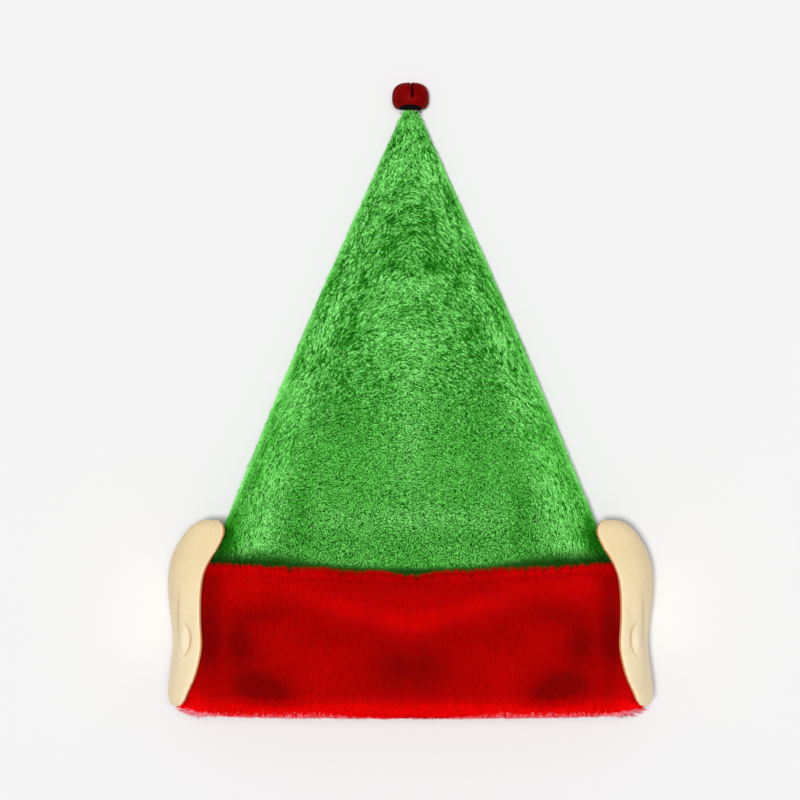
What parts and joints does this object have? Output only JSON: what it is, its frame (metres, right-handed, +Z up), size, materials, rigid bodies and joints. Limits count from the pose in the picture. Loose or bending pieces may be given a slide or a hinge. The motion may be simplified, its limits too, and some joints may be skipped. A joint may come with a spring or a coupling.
{
  "type": "elf hat",
  "caption": "Plush elf hat lying flat on its back: a pointed green cone with a turned-up red cuff, moulded foam ears at its sides and a jingle bell at its tip.",
  "frame": {"origin": "under the middle of the overall box, on the surface that the hat lies on", "axes": "+X across the hat towards its ear on the right of the picture, +Y from its opening towards its bell, +Z up out of its front"},
  "size_m": [0.3058, 0.3994, 0.069],
  "materials": {
    "green_plush": "short pile plush",
    "red_plush": "silky pile plush",
    "ear_foam": "velour-faced moulded foam, matte",
    "red_lacquer": "satin lacquer",
    "steel": "tumbled"
  },
  "bodies": {
    "root": {"crown": "green_plush", "cuff": "red_plush", "left_ear": "ear_foam", "right_ear": "ear_foam", "bell": "red_lacquer", "bell_pellet": "steel"}
  },
  "joints": []
}
